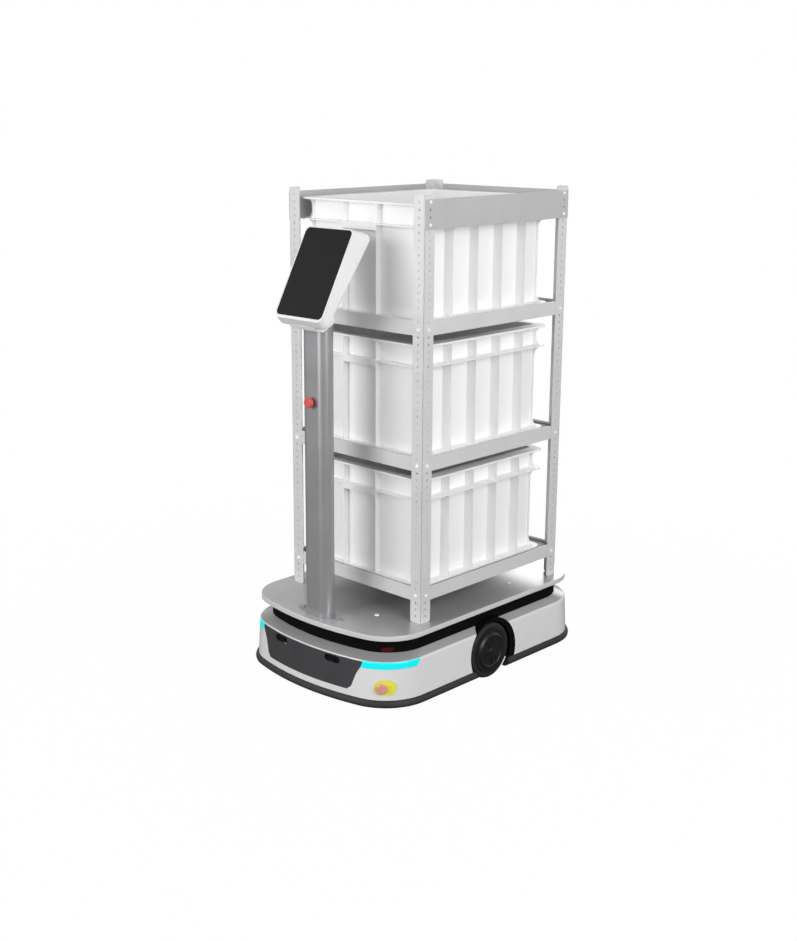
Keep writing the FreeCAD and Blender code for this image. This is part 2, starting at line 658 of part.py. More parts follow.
def caster_mount(x, y):
    """Bracket over the chassis's open corner: a leg on the keel, one on the outrigger, and the
    stem's bearing hole between them."""
    toward = 1 if y < 0 else -1
    low = PLATE_Z + PLATE_T
    foot = MOUNT_FOOT
    edge = y + toward * CASTER_SWING
    leg_y = sorted((edge, edge + toward * MOUNT_T))
    keel_leg = box(KEEL_HALF - MOUNT_T, KEEL_HALF, y - foot, y + foot, low, MOUNT_UNDER)
    side_leg = box(x - foot, x + foot, leg_y[0], leg_y[1], low, MOUNT_UNDER)
    far = edge + toward * MOUNT_T
    top = Part.Face(polygon([(KEEL_HALF - MOUNT_T, y - toward * foot, MOUNT_UNDER),
                             (x + foot, y - toward * foot, MOUNT_UNDER), (x + foot, far, MOUNT_UNDER),
                             (x - foot, far, MOUNT_UNDER),
                             (KEEL_HALF - MOUNT_T, y + toward * foot, MOUNT_UNDER)]))
    bridge = join(top.extrude(V(0, 0, MOUNT_T)), keel_leg, side_leg)
    return bridge.cut(Part.makeCylinder(STEM_R + RUN, MOUNT_T + 2, V(x, y, MOUNT_UNDER - 1)))


def caster_fork(x, y):
    """Swivelling fork: crown, two cheeks, the wheel's axle and a stem with its retaining nut."""
    crown_z = MOUNT_UNDER - FIT
    half = CASTER_W / 2 + 1.5
    crown = Part.makeCylinder(24, CHEEK_T, V(x, y, crown_z - CHEEK_T))
    arm = box(x - half - CHEEK_T, x + half + CHEEK_T, y, y + CASTER_TRAIL + 6, crown_z - CHEEK_T, crown_z)
    cheeks = []
    for side in (-1, 1):
        x0 = x + side * half if side > 0 else x - half - CHEEK_T
        face = polygon([(x0, y - 10, crown_z), (x0, y + CASTER_TRAIL + 10, crown_z),
                        (x0, y + CASTER_TRAIL + 12, CASTER_R), (x0, y + CASTER_TRAIL + 6, CASTER_R - 10),
                        (x0, y + CASTER_TRAIL - 6, CASTER_R - 10), (x0, y + CASTER_TRAIL - 12, CASTER_R)])
        cheeks.append(Part.Face(face).extrude(V(CHEEK_T, 0, 0)))
    axle = rod(CASTER_AXLE_R, (x - half - CHEEK_T - 3, y + CASTER_TRAIL, CASTER_R),
               (x + half + CHEEK_T + 3, y + CASTER_TRAIL, CASTER_R))
    stem = Part.makeCylinder(STEM_R, MOUNT_T + 2 * FIT + CHEEK_T, V(x, y, crown_z - CHEEK_T))
    nut = Part.makeCylinder(STEM_R + 4, 5, V(x, y, MOUNT_UNDER + MOUNT_T + FIT))
    return join(crown, arm, *cheeks, axle, stem, nut)


def caster_wheel(x, y):
    """Rubber-tyred caster wheel with a bored hub."""
    w = CASTER_W / 2
    points = [(-w, CASTER_AXLE_R + RUN), (-w, CASTER_R - TREAD), (-w + TREAD, CASTER_R),
              (w - TREAD, CASTER_R),
              (w, CASTER_R - TREAD), (w, CASTER_AXLE_R + RUN)]
    face = Part.Face(polygon([(x + px, y + CASTER_TRAIL, CASTER_R + r) for px, r in points]))
    return face.revolve(V(x, y + CASTER_TRAIL, CASTER_R), V(1, 0, 0), 360)


# ---------------------------------------------------------------- inside the body
def battery_pack():
    """Battery case with a lipped lid and a carrying handle."""
    z = PLATE_Z + PLATE_T
    lip = BATTERY_LIP
    top = z + BATTERY_H
    case = box(-BATTERY_HALF, BATTERY_HALF, BATTERY_FRONT, BATTERY_REAR, z, top)
    lid = box(-BATTERY_HALF - lip, BATTERY_HALF + lip, BATTERY_FRONT - lip, BATTERY_REAR + lip,
              top - 5 * lip, top - 3 * lip)
    middle = (BATTERY_FRONT + BATTERY_REAR) / 2
    half = BATTERY_HALF / 3
    handle = box(-half, half, middle - 2 * lip, middle + 2 * lip, top + 2.5 * lip, top + 4 * lip)
    ears = [box(min(x, x + lip), max(x, x + lip), middle - 2 * lip, middle + 2 * lip, top, top + 4 * lip)
            for x in (-half, half - lip)]
    return join(case, lid, handle, *ears)


def controller_box():
    """Motor controller with a finned heat sink on top."""
    z = PLATE_Z + PLATE_T
    top = z + CONTROLLER_H
    case = box(-CONTROLLER_HALF, CONTROLLER_HALF, CONTROLLER_FRONT, CONTROLLER_REAR, z, top)
    count = int((CONTROLLER_REAR - CONTROLLER_FRONT) / HEATSINK_PITCH)
    fins = []
    for i in range(count):
        y = CONTROLLER_FRONT + (i + 0.5) * HEATSINK_PITCH
        fins.append(box(-CONTROLLER_HALF + PLATE_T, CONTROLLER_HALF - PLATE_T, y, y + PLATE_T / 2,
                        top, top + HEATSINK_H))
    return join(case, *fins)


# ---------------------------------------------------------------- deck
def deck_plate():
    plate = slab(DECK, DECK_UNDER, DECK_TOP)
    rim = [edge for edge in plate.Edges if abs(edge.BoundBox.ZMin - edge.BoundBox.ZMax) < 1e-6]
    return plate.makeChamfer(DECK_EDGE, rim)


# ---------------------------------------------------------------- mast and screen
MAST_Y = MAST_FRONT + MAST_D / 2
MAST_BACK = MAST_FRONT + MAST_D
TILT = math.radians(SCREEN_TILT)
UP = V(0, math.sin(TILT), math.cos(TILT))          # up along the glass
BACK = V(0, math.cos(TILT), -math.sin(TILT))       # square to it, backwards
LOW = V(0, SCREEN_LOW_Y, SCREEN_LOW_Z)


def at_screen(x, up, back):
    return V(x, 0, 0) + LOW + UP * up + BACK * back


def mast_section(grow, z0, z1):
    """Upright prism with the mast's outline, grown or drawn in all round."""
    wire = rounded(MAST_W + 2 * grow, MAST_D + 2 * grow, MAST_ROUND + grow)
    return moved(Part.Face(wire).extrude(V(0, 0, z1 - z0)), 0, MAST_Y, z0)


def mast_base():
    """Foot flange of the mast with an ear at each side, and a plug inside the tube."""
    foot = mast_section(4, DECK_TOP, DECK_TOP + MAST_FOOT_T)
    foot = join(foot, box(-MAST_EAR_X, MAST_EAR_X, MAST_Y - 15, MAST_Y + 15, DECK_TOP,
                          DECK_TOP + MAST_FOOT_T))
    for side in (-1, 1):
        at = V(side * MAST_EAR_X, MAST_Y, DECK_TOP)
        foot = join(foot, Part.makeCylinder(15, MAST_FOOT_T, at))
    return join(foot, mast_section(-MAST_WALL - FIT, DECK_TOP, DECK_TOP + MAST_FOOT_T + 30))


def mast_tube():
    tube = mast_section(0, DECK_TOP + MAST_FOOT_T, MAST_TOP)
    tube = tube.cut(mast_section(-MAST_WALL, DECK_TOP, MAST_TOP + 1))
    hole = rod(STOP_STEM_R + 2 + FIT, (0, MAST_FRONT - 5, MAST_STOP_Z), (0, MAST_FRONT + 10, MAST_STOP_Z))
    return tube.cut(hole)


def screen_bracket():
    """Head plate on the mast with a plug that reaches down into the tube."""
    plug = mast_section(-MAST_WALL - FIT, MAST_TOP - PLUG_LONG, MAST_TOP + 1)
    return join(plug, mast_section(0, MAST_TOP, MAST_TOP + HEAD_T))


def case_wedge():
    """Body of the screen case: a wedge that thickens upwards, its corners round seen from the front."""
    half = SCREEN_W / 2 + BEZEL
    low_back = at_screen(-half, -CASE_CHIN - CASE_SAG, CASE_LOW)
    top_back = at_screen(-half, SCREEN_L + CASE_RISE, CASE_TOP)
    corners = [at_screen(-half, -CASE_CHIN, 0), at_screen(-half, SCREEN_L + BEZEL, 0), top_back, low_back]
    wedge = Part.Face(polygon([tuple(c) for c in corners])).extrude(V(2 * half, 0, 0))
    ends = [edge for edge in wedge.Edges if along(edge, BACK) > 0.8]
    wedge = wedge.makeFillet(CASE_ROUND, ends)
    backs = [edge for edge in wedge.Edges if along(edge, V(1, 0, 0)) > 0.99
             and min((edge.CenterOfMass - V(0, c.y, c.z)).Length for c in (low_back, top_back)) < 1]
    return wedge.makeFillet(CASE_BACK_ROUND, backs)


def along(edge, direction):
    """How far a straight edge runs in a direction, as a cosine."""
    if len(edge.Vertexes) < 2 or edge.Curve.TypeId != "Part::GeomLine":
        return 0.0
    return abs((edge.Vertexes[1].Point - edge.Vertexes[0].Point).normalize().dot(direction))


def case_neck():
    """Collar round the mast's head and the chin that blends it into the case's underside."""
    top_z = MAST_TOP + HEAD_T + NECK_GRIP
    collar = mast_section(NECK_GRIP, NECK_DROP_Z, top_z)
    back_y = MAST_BACK + NECK_GRIP
    front_y = MAST_FRONT - NECK_GRIP
    rise = NECK_SLANT * (back_y - front_y)
    half = MAST_W / 2 + NECK_GRIP
    under = polygon([(-half - 1, front_y, NECK_DROP_Z), (-half - 1, back_y + 1, NECK_DROP_Z + rise),
                     (-half - 1, back_y + 1, NECK_DROP_Z - 1), (-half - 1, front_y, NECK_DROP_Z - 1)])
    collar = collar.cut(Part.Face(under).extrude(V(2 * half + 2, 0, 0)))
    low = at_screen(0, -CASE_CHIN - CASE_SAG * 0.7, CASE_LOW * 0.7)
    corner = at_screen(0, -CASE_CHIN - CASE_SAG, CASE_LOW)
    inside = at_screen(0, CASE_CHIN, CASE_LOW * 0.7)
    chin = polygon([(-half, low.y, low.z), (-half, corner.y, corner.z - 1), (-half, front_y, NECK_DROP_Z),
                    (-half, MAST_Y, NECK_DROP_Z + rise / 2), (-half, MAST_Y, inside.z),
                    (-half, inside.y, inside.z)])
    return join(collar, Part.Face(chin).extrude(V(2 * half, 0, 0)))


def screen_case():
    case = join(case_wedge(), case_neck())
    pane = rounded(SCREEN_W + 2 * FIT, SCREEN_L + 2 * FIT, SCREEN_ROUND + FIT)
    pocket = Part.Face(pane).extrude(V(0, 0, GLASS_T + FIT + 5))
    case = case.cut(on_screen(pocket, -5))
    middle = at_screen(0, -CASE_CHIN - CASE_SAG / 2, CASE_LOW / 2)
    facing = (at_screen(0, -CASE_CHIN - CASE_SAG, CASE_LOW) - at_screen(0, -CASE_CHIN, 0)).normalize()
    outward = V(1, 0, 0).cross(facing)
    slot = box(-SLOT_W / 2, SLOT_W / 2, -SLOT_H / 2, SLOT_H / 2, -SLOT_DEEP, SLOT_DEEP)
    case = case.cut(faced(slot, middle, outward))
    return case.cut(mast_section(FIT, NECK_DROP_Z - 1, MAST_TOP + HEAD_T))


def on_screen(shape, back):
    """Puts a shape drawn in XY, growing along +Z, on the screen so that it grows backwards."""
    c = at_screen(0, SCREEN_L / 2, back)
    m = FreeCAD.Matrix(1, 0, 0, c.x, 0, UP.y, BACK.y, c.y, 0, UP.z, BACK.z, c.z, 0, 0, 0, 1)
    placed = shape.copy()
    placed.transformShape(m)
    return placed


def screen_glass():
    pane = Part.Face(rounded(SCREEN_W, SCREEN_L, SCREEN_ROUND)).extrude(V(0, 0, GLASS_T))
    return on_screen(pane, FIT)


# ---------------------------------------------------------------- rack
RACK_Z = DECK_TOP


def levels():
    return [RACK_Z + BEAM_Z + TIER * i for i in range(TIERS)]


def post(sx, sy):
    """Slotted angle: two flanges that meet at the rack's outer corner."""
    x0, y0 = sx * RACK_HALF_X, RACK_Y + sy * RACK_HALF_Y
    xs = sorted((x0, x0 - sx * POST_W))
    ys = sorted((y0, y0 - sy * POST_W))
    xt = sorted((x0, x0 - sx * POST_T))
    yt = sorted((y0, y0 - sy * POST_T))
    flange_a = box(xs[0], xs[1], yt[0], yt[1], RACK_Z, RACK_Z + POST_H)
    flange_b = box(xt[0], xt[1], ys[0], ys[1], RACK_Z, RACK_Z + POST_H)
    return join(flange_a, flange_b)


def beam_pair(z):
    """Front and rear beams, then left and right ones: a web with a ledge for the shelf."""
    inner_x = RACK_HALF_X - POST_T
    inner_y = RACK_HALF_Y - POST_T
    ledge_z = z + BEAM_H - SHELF_DOWN - SHELF_T
    beams = []
    for sy in (-1, 1):
        ys = sorted((RACK_Y + sy * inner_y, RACK_Y + sy * (inner_y - BEAM_T)))
        yl = sorted((RACK_Y + sy * inner_y, RACK_Y + sy * (inner_y - BEAM_T - LEDGE_W)))
        half = inner_x - BEAM_T
        web = box(-half, half, ys[0], ys[1], z, z + BEAM_H)
        ledge = box(-half + LEDGE_W, half - LEDGE_W, yl[0], yl[1], ledge_z - BEAM_T, ledge_z)
        beams.append(join(web, ledge))
    for sx in (-1, 1):
        xs = sorted((sx * inner_x, sx * (inner_x - BEAM_T)))
        xl = sorted((sx * inner_x, sx * (inner_x - BEAM_T - LEDGE_W)))
        web = box(xs[0], xs[1], RACK_Y - inner_y, RACK_Y + inner_y, z, z + BEAM_H)
        ledge = box(xl[0], xl[1], RACK_Y - inner_y + BEAM_T + 1, RACK_Y + inner_y - BEAM_T - 1,
                    ledge_z - BEAM_T, ledge_z)
        beams.append(join(web, ledge))
    return Part.Compound(beams)


def shelf_panels():
    """Sheet shelves with a folded-down edge, one on each tier's ledges."""
    panels = []
    half_x = RACK_HALF_X - POST_T - BEAM_T - FIT
    half_y = RACK_HALF_Y - POST_T - BEAM_T - FIT
    for z in levels():
        top = z + BEAM_H - SHELF_DOWN
        sheet = box(-half_x, half_x, RACK_Y - half_y, RACK_Y + half_y, top - SHELF_T, top)
        for sx in (-1, 1):
            x0 = sx * (half_x - LEDGE_W - 6)
            rib = box(min(x0, x0 - sx * SHELF_T), max(x0, x0 - sx * SHELF_T),
                      RACK_Y - half_y + LEDGE_W + 6, RACK_Y + half_y - LEDGE_W - 6, top - SHELF_T - 16,
                      top - SHELF_T)
            sheet = sheet.fuse(rib)
        panels.append(sheet.removeSplitter())
    return Part.Compound(panels)


def top_bands():
    """Plain bands round the rack's top on three sides; the front stays open."""
    z1 = RACK_Z + POST_H - BAND_DOWN
    z0 = z1 - BAND_H
    bands = []
    for sx in (-1, 1):
        xs = sorted((sx * RACK_HALF_X, sx * (RACK_HALF_X + BAND_T)))
        bands.append(box(xs[0], xs[1], RACK_Y - RACK_HALF_Y, RACK_Y + RACK_HALF_Y, z0, z1))
    rear = RACK_Y + RACK_HALF_Y
    bands.append(box(-RACK_HALF_X, RACK_HALF_X, rear, rear + BAND_T, z0, z1))
    return Part.Compound(bands)


# ---------------------------------------------------------------- crates
def crate():
    """Open stacking crate: flanged walls with upright fins, about its own bottom centre."""
    hx, hy = CRATE_HALF_X, CRATE_HALF_Y
    wx, wy = hx - CRATE_SIDE_IN, hy - CRATE_END_IN

    def plate(z0, z1):
        return moved(Part.Face(rounded(2 * hx, 2 * hy, RIM_CORNER)).extrude(V(0, 0, z1 - z0)), 0, 0, z0)

    tub = Part.Face(rounded(2 * wx, 2 * wy, CRATE_CORNER)).extrude(V(0, 0, CRATE_H))
    room = moved(Part.Face(rounded(2 * wx - 2 * CRATE_WALL, 2 * wy - 2 * CRATE_WALL,
                                   CRATE_CORNER - CRATE_WALL))
                 .extrude(V(0, 0, CRATE_H)), 0, 0, CRATE_WALL)
    flanges = [plate(0, FOOT_T), plate(FLANGE_TOP - FLANGE_T, FLANGE_TOP), plate(CRATE_H - RIM_T, CRATE_H)]
    spans = ((FOOT_T, FLANGE_TOP - FLANGE_T), (FLANGE_TOP, CRATE_H - RIM_T))
    fins = []
    for z0, z1 in spans:
        for side in (-1, 1):
            for y in SIDE_FINS:
                xs = sorted((side * (wx - 1), side * hx))
                fins.append(box(xs[0], xs[1], y - FIN_T / 2, y + FIN_T / 2, z0, z1))
            for x in END_FINS:
                ys = sorted((side * (wy - 1), side * hy))
                fins.append(box(x - FIN_T / 2, x + FIN_T / 2, ys[0], ys[1], z0, z1))
    corner_fins = [corner_fin(sx, sy, along, z0, z1) for sx in (-1, 1) for sy in (-1, 1)
                   for along in ("x", "y") for z0, z1 in spans]
    grips = [box(END_FINS[0], END_FINS[1], side * hy - (CRATE_WALL if side > 0 else 0),
                 side * hy + (0 if side > 0 else CRATE_WALL), FLANGE_TOP - FLANGE_T - GRIP_H,
                 FLANGE_TOP - FLANGE_T)
             for side in (-1, 1)]
    return join(tub, *flanges, *fins, *corner_fins, *grips).cut(room).removeSplitter()


def corner_fin(sx, sy, along, z0, z1):
    """Fin beside a corner, its free edge hollowed between the flanges."""
    hx, hy = CRATE_HALF_X, CRATE_HALF_Y
    wx, wy = hx - CRATE_SIDE_IN, hy - CRATE_END_IN
    depth = (CRATE_SIDE_IN if along == "x" else CRATE_END_IN) - 4
    keep = 7.0
    sag = min(depth - keep, (z1 - z0) * 0.3)
    bend = min(22.0, (z1 - z0) * 0.3)
    loop = [(0, z0), (depth, z0), (depth - 0.7 * sag, z0 + 0.45 * bend), (depth - sag, z0 + bend),
            (depth - sag, z1 - bend), (depth - 0.7 * sag, z1 - 0.45 * bend), (depth, z1), (0, z1)]
    if along == "x":
        y = sy * (wy - CRATE_CORNER)
        face = Part.Face(polygon([(sx * (wx - 1 + d), y - FIN_T / 2, z) for d, z in loop]))
        return face.extrude(V(0, FIN_T, 0))
    x = sx * (wx - CRATE_CORNER)
    face = Part.Face(polygon([(x - FIN_T / 2, sy * (wy - 1 + d), z) for d, z in loop]))
    return face.extrude(V(FIN_T, 0, 0))


# ---------------------------------------------------------------- export
def save(name, shape):
    solids = shape.Solids
    bad = [s for s in solids if not s.isValid()]
    print(f"{name}: {len(solids)} solid(s), {sum(s.Volume for s in solids) / 1000:.1f} cm3",
          "INVALID" if bad or not solids else "")
    shape.exportStep(f"parts/{name}.step")


def main():
    os.makedirs("parts", exist_ok=True)
    shell_front, shell_rear = build_shell()
    bumper_front, bumper_rear = bumper()
    save("chassis_frame", chassis_frame())
    save("bumper_front", bumper_front)
    save("bumper_rear", bumper_rear)
    save("shell_front", shell_front)
    save("shell_rear", shell_rear)
    save("upper_housing", upper_housing())
    cutters = camera_body(FIT)
    save("front_panel", SHELL_SKIN.common(panel_prism()).cut(cutters).cut(mirrored(cutters)))
    pairs = {"light_bar": light_bar, "depth_camera": depth_camera, "wheel_arch": wheel_arch,
             "drive_tyre": drive_tyre, "hub_motor": hub_motor, "wheel_cover": wheel_cover,
             "axle_bracket": axle_bracket}
    for name, make in pairs.items():
        shape = make()
        save(f"{name}_left", shape)
        save(f"{name}_right", mirrored(shape))
    save("lidar_window", lidar_window())
    save("lidar_body", lidar_body())
    corners = (("front_left", CASTER_X, CASTER_FRONT_Y), ("front_right", -CASTER_X, CASTER_FRONT_Y),
               ("rear_left", CASTER_X, CASTER_REAR_Y), ("rear_right", -CASTER_X, CASTER_REAR_Y))
    mounts = []
    for name, x, y in corners:
        bridge = caster_mount(abs(x), y)
        mounts.append(bridge if x > 0 else mirrored(bridge))
        save(f"caster_fork_{name}", caster_fork(x, y))
        save(f"caster_wheel_{name}", caster_wheel(x, y))
    save("caster_mounts", Part.Compound(mounts))
    save("battery_pack", battery_pack())
    save("controller_box", controller_box())
    save("charge_contacts", charge_contacts())
    save("deck_plate", deck_plate())
    save("mast_tube", mast_tube())
    save("mast_base", mast_base())
    save("screen_bracket", screen_bracket())
    save("screen_case", screen_case())
    save("screen_glass", screen_glass())
    mast_at = V(0, MAST_FRONT, MAST_STOP_Z)
    save("mast_stop_base", faced(stop_base(MAST_WALL + 2), mast_at, V(0, -1, 0)))
    save("mast_stop_button", faced(stop_button(MAST_WALL + 4, MAST_STOP_OUT), mast_at, V(0, -1, 0)))
    save("front_stop_plate", front_stop_plate())
    save("front_stop_base", faced(stop_base(SHELL_WALL + 3), STOP_AT, OUT))
    save("front_stop_button", faced(stop_button(SHELL_WALL + 4, FRONT_STOP_OUT), STOP_AT, OUT))
    for name, sx, sy in (("front_left", 1, -1), ("front_right", -1, -1), ("rear_left", 1, 1),
                         ("rear_right", -1, 1)):
        save(f"post_{name}", post(sx, sy))
    for name, z in zip(("lower", "middle", "upper"), levels()):
        save(f"shelf_beams_{name}", beam_pair(z))
    save("shelf_panels", shelf_panels())
    save("top_bands", top_bands())
    body = crate()
    for name, z in zip(("lower", "middle", "upper"), levels()):
        save(f"crate_{name}", moved(body, 0, CRATE_Y, z + BEAM_H - SHELF_DOWN + FIT))


main()
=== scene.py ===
import json
import math
import bmesh
import bpy
from mathutils import Matrix, Vector


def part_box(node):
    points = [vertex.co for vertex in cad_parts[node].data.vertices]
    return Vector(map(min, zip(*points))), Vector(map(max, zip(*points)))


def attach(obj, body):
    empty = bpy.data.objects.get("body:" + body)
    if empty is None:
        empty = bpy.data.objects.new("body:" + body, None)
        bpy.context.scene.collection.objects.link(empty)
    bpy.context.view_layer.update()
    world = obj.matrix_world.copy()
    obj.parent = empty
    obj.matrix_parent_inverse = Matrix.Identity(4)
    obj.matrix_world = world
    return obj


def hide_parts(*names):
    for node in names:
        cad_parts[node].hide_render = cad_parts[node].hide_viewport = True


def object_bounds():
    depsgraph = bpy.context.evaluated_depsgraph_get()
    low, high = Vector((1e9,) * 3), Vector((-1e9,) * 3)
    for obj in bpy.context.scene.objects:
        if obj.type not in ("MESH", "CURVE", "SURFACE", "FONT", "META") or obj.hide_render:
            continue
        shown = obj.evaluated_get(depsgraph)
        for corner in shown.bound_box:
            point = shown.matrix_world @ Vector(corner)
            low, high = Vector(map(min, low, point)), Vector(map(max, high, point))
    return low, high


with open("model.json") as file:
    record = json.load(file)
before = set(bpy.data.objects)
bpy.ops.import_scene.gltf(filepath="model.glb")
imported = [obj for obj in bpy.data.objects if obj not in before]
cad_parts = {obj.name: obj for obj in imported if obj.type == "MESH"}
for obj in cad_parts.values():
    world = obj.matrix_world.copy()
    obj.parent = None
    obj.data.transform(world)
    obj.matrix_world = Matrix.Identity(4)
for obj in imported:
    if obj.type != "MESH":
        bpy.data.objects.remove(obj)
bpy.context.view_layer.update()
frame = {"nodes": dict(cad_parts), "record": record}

nodes = frame["nodes"]
mm = 0.001
print("frame loaded:", len(nodes), "nodes")


# ------------------------------------------------------------ small helpers
def linearColor(hexText):
    # sRGB hex to the linear values that the shaders take
    parts = [int(hexText[i:i + 2], 16) / 255 for i in (1, 3, 5)]
    return [c / 12.92 if c <= 0.04045 else ((c + 0.055) / 1.055) ** 2.4 for c in parts] + [1.0]


def addNode(tree, kind, settings=None, links=None):
    node = tree.nodes.new("ShaderNode" + kind)
    for key, value in (settings or {}).items():
        if isinstance(key, int) or key in node.inputs:
            node.inputs[key].default_value = value
        else:
            setattr(node, key, value)
    for key, socket in (links or {}).items():
        tree.links.new(socket, node.inputs[key])
    return node


def newMaterial(name):
    material = bpy.data.materials.new(name)
    material.use_nodes = True
    tree = material.node_tree
    tree.nodes.clear()
    shader = addNode(tree, "BsdfPrincipled")
    addNode(tree, "OutputMaterial", links={"Surface": shader.outputs["BSDF"]})
    where = addNode(tree, "NewGeometry")
    return material, tree, shader, where.outputs["Position"]


def addNoise(tree, position, sizeMm, detail):
    noise = addNode(tree, "TexNoise", {"Scale": 1 / (sizeMm * mm), "Detail": detail}, {"Vector": position})
    return noise.outputs["Fac"]


def addCells(tree, position, sizeMm):
    cells = addNode(tree, "TexVoronoi", {"Scale": 1 / (sizeMm * mm)}, {"Vector": position})
    return cells.outputs["Distance"]


def addTone(tree, share, firstHex, lastHex, span=(0.0, 1.0)):
    # goes from the first colour to the last as the share crosses the span
    tone = addNode(tree, "ValToRGB", links={"Fac": share})
    for stop, hexText, place in zip(tone.color_ramp.elements, (firstHex, lastHex), span):
        stop.color = linearColor(hexText)
        stop.position = place
    return tone.outputs["Color"]


def addGloss(tree, share, low, high):
    gloss = addNode(tree, "MapRange", {"To Min": low, "To Max": high}, {"Value": share})
    return gloss.outputs["Result"]


def addRelief(tree, height, strength, depthMm):
    relief = addNode(tree, "Bump", {"Strength": strength, "Distance": depthMm * mm}, {"Height": height})
    return relief.outputs["Normal"]


def addSoftEdge(tree, normal, radiusMm):
    edge = addNode(tree, "Bevel", {"samples": 4, "Radius": radiusMm * mm}, {"Normal": normal})
    return edge.outputs["Normal"]


def addPaintedUpwardShade(tree, tone, look):
    # painted shade: a darker second colour on the faces that look up, for the pieces that name one, standing
    # in for the shade that falls on them from above
    if "paintedShadeColor" not in look:
        return tone
    facing = addNode(tree, "NewGeometry")
    lean = addNode(tree, "SeparateXYZ", links={0: facing.outputs["Normal"]})
    reach = {"interpolation_type": "SMOOTHSTEP", "From Min": look["paintedShadeFrom"], "From Max": look["paintedShadeTo"]}
    share = addNode(tree, "MapRange", reach, {"Value": lean.outputs["Z"]})
    paintedShadeTone = addNode(tree, "MixRGB", {2: linearColor(look["paintedShadeColor"])}, {0: share.outputs["Result"], 1: tone})
    return paintedShadeTone.outputs["Color"]


def setShader(tree, shader, links, values):
    for key, socket in links.items():
        tree.links.new(socket, shader.inputs[key])
    for key, value in values.items():
        shader.inputs[key].default_value = value


def meshPiece(name, body, mesh, material):
    piece = bpy.data.objects.new(name, mesh)
    bpy.context.scene.collection.objects.link(piece)
    mesh.materials.clear()
    mesh.materials.append(material)
    for face in mesh.polygons:
        face.use_smooth = False
    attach(piece, body)
    return piece


# ------------------------------------------------------------ materials
def powderCoat(name, look):
    # powder-coated steel: even colour, a soft sheen and the fine ripple of baked powder, with painted shade
    # on the up-facing faces of pieces that name one
    material, tree, shader, position = newMaterial(name)
    ripple = addNoise(tree, position, look["rippleMm"], 2.0)
    cloud = addNoise(tree, position, look["cloudMm"], 3.0)
    tone = addTone(tree, cloud, look["shade"], look["color"], look["toneSpan"])
    relief = addRelief(tree, ripple, look["bump"], look["depthMm"])
    setShader(tree, shader, {
        "Base Color": addPaintedUpwardShade(tree, tone, look),
        "Roughness": addGloss(tree, cloud, look["rough"] - look["spread"], look["rough"] + look["spread"]),
        "Normal": addSoftEdge(tree, relief, look["edgeMm"])}, {"Metallic": look["metallic"]})
    return material


def mouldedPlastic(name, look):
    # injection-moulded plastic: fine spark grain from the tool and a faint waxy variation, with painted
    # shade on the up-facing faces of pieces that name one
    material, tree, shader, position = newMaterial(name)
    grain = addNoise(tree, position, look["grainMm"], 4.0)
    flow = addNoise(tree, position, look["flowMm"], 2.0)
    tone = addTone(tree, flow, look["shade"], look["color"], look["toneSpan"])
    relief = addRelief(tree, grain, look["bump"], look["depthMm"])
    setShader(tree, shader, {
        "Base Color": addPaintedUpwardShade(tree, tone, look),
        "Roughness": addGloss(tree, grain, look["rough"] - look["spread"], look["rough"] + look["spread"]),
        "Normal": addSoftEdge(tree, relief, look["edgeMm"])}, {
        "IOR": look["ior"], "Specular IOR Level": look["specular"], "Coat Weight": look["coat"]})
    if "scatterMm" in look:
        setShader(tree, shader, {}, {"Subsurface Weight": look["scatter"], "Subsurface Radius": (1, 1, 1),
                                     "Subsurface Scale": look["scatterMm"] * mm})
    return material


def rubberCompound(name, look):
    # vulcanised rubber: dark, matte, with a dusty bloom in its fine pores
    material, tree, shader, position = newMaterial(name)
    pores = addCells(tree, position, look["poreMm"])
    bloom = addNoise(tree, position, look["bloomMm"], 5.0)
    setShader(tree, shader, {
        "Base Color": addTone(tree, bloom, look["color"], look["bloom"], look["toneSpan"]),
        "Roughness": addGloss(tree, bloom, look["rough"], look["rough"] + look["spread"]),
        "Normal": addRelief(tree, pores, look["bump"], look["depthMm"])}, {"IOR": look["ior"]})
    return material


def coverGlass(name, look):
    # toughened glass or acrylic over a dark inside, with only faint smears in its gloss
    material, tree, shader, position = newMaterial(name)
    smear = addNoise(tree, position, look["smearMm"], 3.0)
    setShader(tree, shader, {
        "Base Color": addTone(tree, smear, look["color"], look["sheen"]),
        "Roughness": addGloss(tree, smear, look["rough"], look["rough"] + look["spread"])}, {
        "IOR": look["ior"], "Specular IOR Level": look["specular"]})
    return material


def lightDiffuser(name, look):
    # opal polycarbonate lit from behind: the lamps show as a slightly uneven glow
    material, tree, shader, position = newMaterial(name)
    tone = addTone(tree, addNoise(tree, position, look["lampMm"], 1.0), look["color"], look["bright"])
    setShader(tree, shader, {"Base Color": tone, "Emission Color": tone},
              {"Emission Strength": look["glow"], "Roughness": look["rough"]})
    return material


def platedSteel(name, look):
    # zinc-plated or cast metal: bright, faintly mottled by the bath or the mould
    material, tree, shader, position = newMaterial(name)
    spangle = addCells(tree, position, look["spangleMm"])
    gloss = addGloss(tree, spangle, look["rough"] - look["smoother"], look["rough"] + look["rougher"])
    setShader(tree, shader, {
        "Base Color": addTone(tree, spangle, look["color"], look["shade"]), "Roughness": gloss}, {
        "Metallic": look["metallic"]})
    return material


steelCoat = {"rippleMm": 1.2, "cloudMm": 90, "toneSpan": (0.3, 0.6), "bump": 0.15, "depthMm": 0.05,
             "rough": 0.42, "spread": 0.05, "edgeMm": 0.6, "metallic": 0.0}
plasticGrain = {"grainMm": 0.8, "flowMm": 120, "toneSpan": (0.35, 0.65), "bump": 0.12, "depthMm": 0.04,
                "rough": 0.4, "spread": 0.04, "edgeMm": 0.8, "ior": 1.49, "specular": 0.5, "coat": 0.0}
rubberGrain = {"toneSpan": (0.4, 0.8), "bump": 0.25, "depthMm": 0.1, "spread": 0.15, "ior": 1.52}
glassFace = {"spread": 0.06, "ior": 1.5}
metalFace = {"smoother": 0.05, "rougher": 0.1, "metallic": 1.0}

